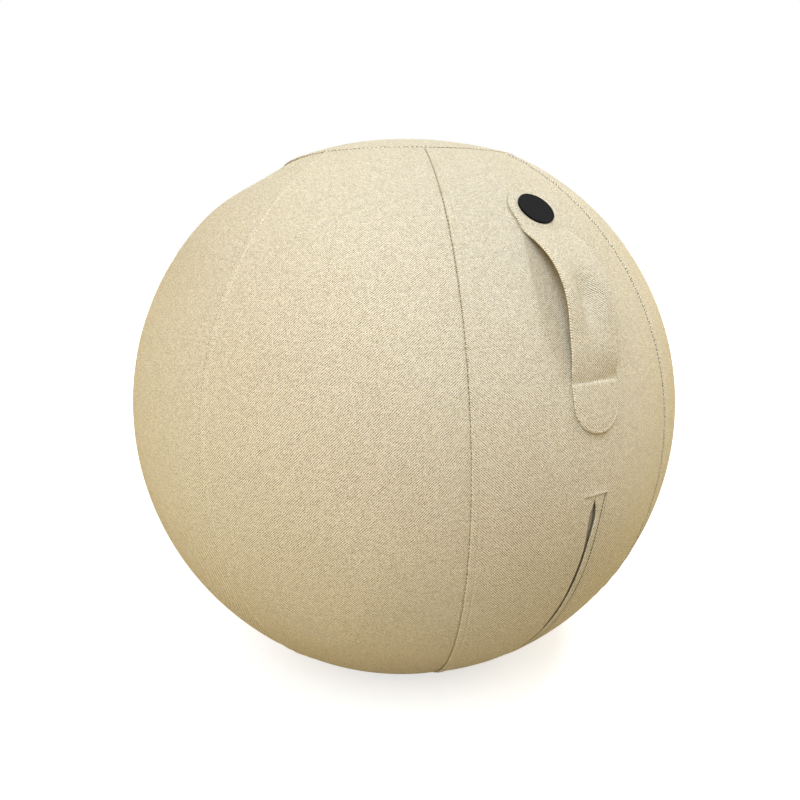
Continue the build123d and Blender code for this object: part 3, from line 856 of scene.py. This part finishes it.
# Where the strap is bowed off the ball, with a hollow to the left of its middle
BOW_LOW_DEG, BOW_HIGH_DEG, BOW_RUN_DEG = 13.5, 41.0, 4
BOW_FLAT = 0.8
VALLEY = 10.5 * MM
VALLEY_DEG, VALLEY_HALF_DEG = 27.0, 4.4
VALLEY_AT = -2 * MM
VALLEY_LEFT, VALLEY_RIGHT = 9 * MM, 15 * MM
RIPPLE, RIPPLE_RUN, RIPPLE_ACROSS = 0.25 * MM, 11 * MM, 9 * MM

# Lower crease with the roll of padding over it, and the shallow upper crease
CREASE = 3.6 * MM
CREASE_TILT = 0.3
PINCH_ABOVE_DEG, PINCH_BELOW_DEG = 1.5, 0.10
ROLL = 1.7 * MM
ROLL_START_DEG, ROLL_FLAT_DEG, ROLL_END_DEG = 5.5, 4.0, 9.0
UPPER_DIP = 0.5 * MM
UPPER_DIP_DEG, UPPER_DIP_HALF_DEG = 40.0, 0.8

# Rows and columns of the strap's mesh, and points of its stitch rows
TIP_ROWS, TIP_START = 26, 0.02
STRAP_ROWS, STRAP_COLUMNS = 150, 45
COLUMN_POWER = 0.8
END_POINTS, SIDE_POINTS, CREASE_POINTS = 60, 200, 40
CREASE_STITCH_DEG = 0.15


def rounded_path(corners, bends, step):
    """Points along straight runs joined by arcs."""
    corners = [np.asarray(c, dtype=float) for c in corners]
    out = [corners[0]]
    for before, corner, after, bend in zip(corners, corners[1:], corners[2:], bends):
        back = (before - corner) / np.linalg.norm(before - corner)
        ahead = (after - corner) / np.linalg.norm(after - corner)
        half = math.acos(max(-1.0, min(1.0, float(back @ ahead)))) / 2
        reach = bend / math.tan(half)
        start, end = corner + back * reach, corner + ahead * reach
        middle = corner + (back + ahead) / np.linalg.norm(back + ahead) * bend / math.sin(half)
        first, second = start - middle, end - middle
        turn = math.pi - 2 * half
        sign = math.copysign(1.0, first[0] * second[1] - first[1] * second[0])
        for k in range(BEND_STEPS + 1):
            a = sign * turn * k / BEND_STEPS
            out.append(middle + np.array([
                first[0] * math.cos(a) - first[1] * math.sin(a),
                first[0] * math.sin(a) + first[1] * math.cos(a),
            ]))
    out.append(corners[-1])
    out = np.array(out)
    run = run_along(out)
    return at_run(np.arange(0, run[-1], step), run, out)


def arc_points(first_lat, last_lat, radius, step):
    count = max(2, int(abs(last_lat - first_lat) * radius / step))
    lat = np.linspace(first_lat, last_lat, count)
    return np.stack([radius * np.cos(lat), radius * np.sin(lat)], axis=-1)


def strap_line():
    """The strap's underside seen from the side: out from the ball's axis, and up from its middle."""
    radius = STRAP_SEAT_R
    reach = STRAP_HALF / radius
    over = CREASE_REACH / radius

    def at(lat, r):
        return (r * math.cos(lat), r * math.sin(lat))

    lower = arc_points(LOWER_TAB - reach, LOWER_CREASE - over, radius, SEAT_STEP)
    free = rounded_path(
        [
            at(LOWER_CREASE - over, radius),
            at(LOWER_CREASE, radius),
            at(KNEE_LAT, BALL_R + KNEE_RISE - STRAP_T / 2),
            at(UPPER_CREASE, radius),
            at(UPPER_CREASE + over, radius),
        ],
        [CREASE_BEND, KNEE_BEND, CREASE_BEND],
        FREE_STEP,
    )
    upper = arc_points(UPPER_CREASE + over, UPPER_TAB + reach, radius, SEAT_STEP)
    line = np.concatenate([lower[:-1], free, upper])
    keep = np.concatenate([[True], np.linalg.norm(np.diff(line, axis=0), axis=1) > LEAST_STEP])
    return line[keep]


STRAP_LINE = strap_line()
STRAP_AHEAD = unit(np.gradient(STRAP_LINE, axis=0))
STRAP_NORMALS = np.stack([STRAP_AHEAD[:, 1], -STRAP_AHEAD[:, 0]], axis=-1)
STRAP_RUN = run_along(STRAP_LINE)
STRAP_LONG = STRAP_RUN[-1]
STRAP_DEG = np.degrees(np.arctan2(STRAP_LINE[:, 1], STRAP_LINE[:, 0]))


def past_tip(run):
    """How far a place lies beyond the middle of the strap's nearer round end."""
    return np.maximum(STRAP_HALF - np.minimum(run, STRAP_LONG - run), 0)


def strap_rise(run, across, share):
    """Height of the strap's faces over its underside line: share 1 is the face, 0 the back."""
    inside = np.maximum(STRAP_HALF - np.sqrt(across**2 + past_tip(run) ** 2), 0)
    edge = np.clip(inside / STRAP_ROUND, 0, 1)
    swollen = np.sqrt(np.maximum(1 - (1 - edge) ** 2, 0))
    stitch_dip = STITCHES_DIP * bell(inside - STITCHES_AT, STITCHES_HALF)
    deg = np.interp(run, STRAP_RUN, STRAP_DEG)
    bowed = ease((deg - BOW_LOW_DEG) / BOW_RUN_DEG) * ease((BOW_HIGH_DEG - deg) / BOW_RUN_DEG)
    conform = across**2 / (2 * BALL_R) * (1 - BOW_FLAT * bowed)
    flank = np.where(across < VALLEY_AT, VALLEY_LEFT, VALLEY_RIGHT)
    valley = VALLEY * bell(deg - VALLEY_DEG, VALLEY_HALF_DEG) * bell(across - VALLEY_AT, flank)
    above = deg - math.degrees(LOWER_CREASE)
    fading = np.exp(-np.maximum(above, 0) / PINCH_ABOVE_DEG)
    pinch = np.where(above > 0, fading, bell(above, PINCH_BELOW_DEG))
    tilted = 1 + CREASE_TILT * across / STRAP_HALF
    crease = CREASE * pinch * tilted + UPPER_DIP * bell(deg - UPPER_DIP_DEG, UPPER_DIP_HALF_DEG)
    roll = ROLL * tilted * ease(above / ROLL_START_DEG)
    roll = roll * (1 - ease((above - ROLL_FLAT_DEG) / ROLL_END_DEG))
    ripple = RIPPLE * np.sin(run / RIPPLE_RUN + across / RIPPLE_ACROSS) * bowed
    mid = STRAP_T / 2
    face = mid + (mid - (stitch_dip + crease) * share) * swollen
    back = mid - mid * swollen
    return back + (face - back) * share - conform + roll - (valley - ripple) * swollen * bowed


def strap_points(run, across, share):
    """Points of the strap at a run along its line and a distance across it."""
    line = at_run(run, STRAP_RUN, STRAP_LINE)
    normal = at_run(run, STRAP_RUN, STRAP_NORMALS)
    flat = line + normal * strap_rise(run, across, share)[..., None]
    return np.stack([across, -flat[..., 0], BALL_Z + flat[..., 1]], axis=-1)


def handle_strap():
    tip = STRAP_HALF * (1 - np.cos(np.linspace(TIP_START, math.pi / 2, TIP_ROWS)))
    middle = np.linspace(tip[-1], STRAP_LONG - tip[-1], STRAP_ROWS)[1:-1]
    run = np.concatenate([tip, middle, STRAP_LONG - tip[::-1]])[:, None]
    sweep = np.sin(np.linspace(-math.pi / 2, math.pi / 2, STRAP_COLUMNS))
    edge = np.sign(sweep) * np.abs(sweep) ** COLUMN_POWER
    share = np.concatenate([np.ones(STRAP_COLUMNS), np.zeros(STRAP_COLUMNS)])[None, :]
    half = np.sqrt(np.maximum(STRAP_HALF**2 - past_tip(run) ** 2, 0))
    across = half * np.concatenate([edge, edge[::-1]])[None, :]
    run = np.broadcast_to(run, across.shape)
    points = strap_points(run, across, np.broadcast_to(share, across.shape))
    rows, columns = across.shape
    faces = grid_faces(rows, columns, closed=True)
    faces.append(tuple(range(columns))[::-1])
    faces.append(tuple((rows - 1) * columns + k for k in range(columns)))
    piece = make_object("handle_strap_cloth", points, faces, CLOTH, np.stack([across, run], axis=-1))
    return piece


def strap_stitch_paths():
    """Stitching round the strap's edge, and across it where it leaves its lower end."""
    half = STRAP_HALF - STITCHES_AT
    turn = np.linspace(-math.pi / 2, math.pi / 2, END_POINTS)
    end_run = STRAP_HALF - half * np.cos(turn)
    end_across = half * np.sin(turn)
    side_run = np.linspace(STRAP_HALF, STRAP_LONG - STRAP_HALF, SIDE_POINTS)
    side_across = np.full(SIDE_POINTS, half)
    run = np.concatenate([end_run, side_run, STRAP_LONG - end_run[::-1], side_run[::-1]])
    across = np.concatenate([end_across, side_across, end_across[::-1], -side_across])
    around = strap_points(run, across, np.ones_like(run))
    crease_run = np.interp(math.degrees(LOWER_CREASE) - CREASE_STITCH_DEG, STRAP_DEG, STRAP_RUN)
    row = np.linspace(-half, half, CREASE_POINTS)
    over = strap_points(np.full_like(row, crease_run), row, np.ones_like(row))
    return [(path, unit(path * np.array([0, 1, 1]) - BALL_CENTRE)) for path in (around, over)]


# Inner ball

# The skin lies this far inside the cover, and is pressed in behind the zip
SKIN_INSET = 3.9 * MM
SKIN_STEPS = MM * np.arange(0, 31, 3)
SKIN_ROWS, SKIN_COLUMNS = 120, 40
SKIN_RINGS = (0.75, 0.5, 0.25)
TROUGH_R = TAPE_R - 2.9 * MM
TROUGH_HALF, TROUGH_EDGE = 24 * MM, 8 * MM
TROUGH_END, TROUGH_END_RUN = 0.03, 0.02


def inner_ball():
    """The inflated skin, pressed in behind the zip."""
    near = SKIN_STEPS / BALL_R
    far = np.linspace(near[-1], math.pi, SKIN_COLUMNS)[1:]
    lon = np.concatenate([-far[::-1][1:], -near[::-1][:-1], near, far])[:-1]
    lat = np.linspace(-SEAM_LAT, SEAM_LAT, SKIN_ROWS)
    lon_grid, lat_grid = np.meshgrid(lon, lat)
    points = on_ball(lon_grid, lat_grid, BALL_R - SKIN_INSET - sag(lon_grid, lat_grid))
    side = points[..., 0]
    reach = np.hypot(points[..., 1], points[..., 2] - BALL_Z)
    place = np.arctan2(points[..., 2] - BALL_Z, -points[..., 1])
    front = (points[..., 1] < 0) * ease((TROUGH_HALF - np.abs(side)) / TROUGH_EDGE)
    front = front * ease((ZIP_TOP + TROUGH_END - place) / TROUGH_END_RUN)
    front = front * ease((place - ZIP_END + TROUGH_END) / TROUGH_END_RUN)
    pressed = reach - front * np.maximum(reach - TROUGH_R, 0)
    points[..., 1] *= pressed / reach
    points[..., 2] = BALL_Z + (points[..., 2] - BALL_Z) * pressed / reach
    rows, columns = lon_grid.shape
    faces = grid_faces(rows, columns, closed=True)
    points = list(points.reshape(-1, 3))

    # Rings that close both ends
    base_tip = base_height(np.array(0.0)) + SKIN_INSET
    crown_tip = POLE_Z + CROWN_EXTRA - SKIN_INSET
    for end, height in ((0, base_tip), (rows - 1, crown_tip)):
        previous = [end * columns + j for j in range(columns)]
        rim = np.array([points[k] for k in previous])
        for share in SKIN_RINGS:
            start = len(points)
            across = rim[:, :2] * share
            distance = np.linalg.norm(across, axis=1)
            slack = sag(np.arctan2(across[:, 0], -across[:, 1]), SEAM_LAT) * share**SLACK_POWER
            low, high = base_height(distance) + SKIN_INSET, cap_profile(distance) - SKIN_INSET - slack
            points += list(np.column_stack([across, high if end else low]))
            current = list(range(start, start + columns))
            for j in range(columns):
                k = (j + 1) % columns
                quad = (previous[j], previous[k], current[k], current[j])
                faces.append(quad if end else quad[::-1])
            previous = current
        tip = len(points)
        points.append(np.array([0, 0, float(height)]))
        for j in range(columns):
            triangle = (previous[j], previous[(j + 1) % columns], tip)
            faces.append(triangle if end else triangle[::-1])
    piece = make_object("inner_ball_skin", points, faces, SKIN)
    return piece


# The object

settle(front_panel(), "front_panel", slot="cover_fabric")
for number in range(1, PANEL_COUNT):
    settle(plain_panel(number), f"side_panel_{number + 1}", slot="cover_fabric")
settle(top_panel(), "top_panel", slot="cover_fabric")
settle(base_panel(), "base_panel", slot="base_fabric")
settle(base_dots(), slot="base_fabric")

seams = [seam_path(n, GROOVE_ASIDE, GROOVE_LIFT) for n in range(PANEL_COUNT)]
stitches = stitch_mesh("seam_stitches", seams, SEAM_STITCH, SEAM_THREAD_PAINTED_SHADE)
settle(stitches, "seam_threads", slot="thread")
rows = [seam_path(n, TOPSTITCH_AT, TOPSTITCH_LIFT) for n in range(PANEL_COUNT)]
settle(stitch_mesh("panel_topstitches", rows, TOPSTITCH, TOP_THREAD), slot="thread")
round_seams = {"top": (TOP_SEAM_Z - ROUND_DEPTH, 1.0), "base": (BASE_SEAM_Z + ROUND_DEPTH, -1.0)}
for word, (height, up) in round_seams.items():
    path = ring_path(height, up)
    stitches = stitch_mesh(f"{word}_seam_stitches", [path], ROUND_STITCH, SEAM_THREAD_PAINTED_SHADE)
    settle(stitches, f"{word}_seam_thread", slot="thread")

for word, side in (("left", -1), ("right", 1)):
    settle(zip_lip(f"zip_lip_{word}_cloth", side), f"zip_lip_{word}", slot="cover_fabric")
    settle(zip_tape(f"zip_tape_{word}_cloth", side), f"zip_tape_{word}", slot="zip_tape")
settle(stitch_mesh("zip_lip_stitches", [lip_stitch_path()], LIP_STITCH, LIP_THREAD_PAINTED_SHADE), slot="thread")

settle(handle_strap(), "handle_strap", slot="cover_fabric")
settle(stitch_mesh("handle_stitches", strap_stitch_paths(), STRAP_STITCH, TOP_THREAD), slot="thread")
settle(inner_ball(), "inner_ball", slot="inner_skin")

for node, material in {
    "valve_seat": SKIN,
    "valve_plug": VALVE,
    "zip_teeth_left": ZIP_PLASTIC,
    "zip_teeth_right": ZIP_PLASTIC,
    "zip_top_stop": ZIP_PLASTIC,
    "zip_end_stop": ZIP_PLASTIC,
    "zip_slider": ZIP_METAL,
    "zip_pull": ZIP_METAL,
    "handle_badge": BADGE,
}.items():
    mesh = frame["nodes"][node].data
    mesh.materials.clear()
    mesh.materials.append(material)


# Studio

WHITE = (1.0, 1.0, 1.0)
GREY = (0.5, 0.5, 0.5)
WARM = (1.0, 0.84, 0.46)
COOL = (0.70, 0.81, 1.0)
AMBER = (1.0, 0.78, 0.32)
FLOOR_BOUNCE = (0.49, 0.42, 0.29)
FLOOR_HALF = 40.0
FLOOR_DROP = 0.2 * MM
WORLD_LIGHT = 0.60

# Lamps, all aimed at the ball's middle: place, size, power and tint
LAMPS = {
    "key": ((-1.25, -1.3, 1.95), 1.8, 57, COOL),
    "accent": ((0.8, -0.7, 1.9), 0.4, 20, COOL),
    "left_fill": ((-2.0, 0.1, 0.5), 1.2, 9, AMBER),
    "right_fill": ((1.9, -0.3, 0.5), 1.2, 13, AMBER),
    "back": ((0.9, 2.1, 1.0), 1.8, 44, COOL),
}


def plain_seen(tree):
    """1 for rays that show the background itself, 0 for rays that gather light."""
    rays = add_node(tree, "LightPath").outputs
    seen = math_node(tree, "MAXIMUM", rays["Is Camera Ray"], rays["Is Glossy Ray"])
    return math_node(tree, "MAXIMUM", seen, rays["Is Transmission Ray"])


def floor_material():
    """Pale floor: white round the ball in the picture, with the ball's soft shadow kept."""
    material, tree, shader = new_material("studio_floor")
    bounce = {"Base Color": (*FLOOR_BOUNCE, 1.0), "Roughness": 1.0, "Specular IOR Level": 0.0}
    set_inputs(tree, shader, bounce)
    place = add_node(tree, "TexCoord").outputs["Object"]
    away = add_node(tree, "VectorMath", {0: place}, operation="LENGTH").outputs["Value"]
    spread = {"Value": away, "From Min": 0.35, "From Max": 1.6, "To Min": 0.66, "To Max": 1.0}
    strength = add_node(tree, "MapRange", spread).outputs[0]
    glow = add_node(tree, "Emission", {"Strength": strength}).outputs[0]
    shaded = add_node(tree, "BsdfDiffuse", {"Color": (*GREY, 1.0)}).outputs[0]
    both = add_node(tree, "AddShader", {0: shaded, 1: glow}).outputs[0]
    choose = add_node(tree, "MixShader", {0: plain_seen(tree), 1: shader.outputs[0], 2: both})
    output = next(n for n in tree.nodes if n.type == "OUTPUT_MATERIAL")
    set_inputs(tree, output, {"Surface": choose.outputs[0]})
    return material


def soft_box(name, place, size, power, tint):
    light = bpy.data.lights.new(name, "AREA")
    light.shape = "DISK"
    light.size = size
    light.energy = power
    light.color = tint
    thing = bpy.data.objects.new(name, light)
    thing.location = place
    thing.rotation_euler = (Vector(BALL_CENTRE) - Vector(place)).to_track_quat("-Z", "Y").to_euler()
    bpy.context.scene.collection.objects.link(thing)


signs = ((-1, -1), (1, -1), (1, 1), (-1, 1))
corners = [(x * FLOOR_HALF, y * FLOOR_HALF, -FLOOR_DROP) for x, y in signs]
floor = make_object("studio_floor", corners, [(0, 1, 2, 3)], floor_material(), smooth=False)

world = bpy.data.worlds.new("studio")
bpy.context.scene.world = world
world.use_nodes = True
tree = world.node_tree
background = next(n for n in tree.nodes if n.type == "BACKGROUND")
seen = plain_seen(tree)
colour = add_node(tree, "Mix", data_type="RGBA")
set_inputs(tree, colour, {0: seen, 6: (*WARM, 1.0), 7: (*WHITE, 1.0)})
strength = mix_value(tree, seen, WORLD_LIGHT, 1.0)
set_inputs(tree, background, {"Color": colour.outputs[2], "Strength": strength})

for name, lamp in LAMPS.items():
    soft_box(name, *lamp)

# Camera
CAMERA_TURN = math.radians(-32.4)
CAMERA_TILT = math.radians(13.1)
CAMERA_ROLL = math.radians(-0.75)
CAMERA_AWAY = 2.74 * BALL_R
FOCAL_PIXELS = 692.0
PICTURE_PIXELS = 800.0
BALL_PIXEL = (404.0, 402.7)
camera_data = bpy.data.cameras.new("photo_camera")
camera_data.sensor_width = 36.0
camera_data.lens = camera_data.sensor_width * FOCAL_PIXELS / PICTURE_PIXELS
camera_data.shift_x = (PICTURE_PIXELS / 2 - BALL_PIXEL[0]) / PICTURE_PIXELS
camera_data.shift_y = (BALL_PIXEL[1] - PICTURE_PIXELS / 2) / PICTURE_PIXELS
camera_data.clip_start = 0.01
camera = bpy.data.objects.new("photo_camera", camera_data)
level = math.cos(CAMERA_TILT)
back = Vector((math.sin(CAMERA_TURN) * level, -math.cos(CAMERA_TURN) * level, math.sin(CAMERA_TILT)))
camera.location = Vector(BALL_CENTRE) + back * CAMERA_AWAY
aim = (-back).to_track_quat("-Z", "Y") @ Quaternion((0, 0, 1), CAMERA_ROLL)
camera.rotation_euler = aim.to_euler()
bpy.context.scene.collection.objects.link(camera)
bpy.context.scene.camera = camera
bpy.context.scene.view_settings.view_transform = "Standard"
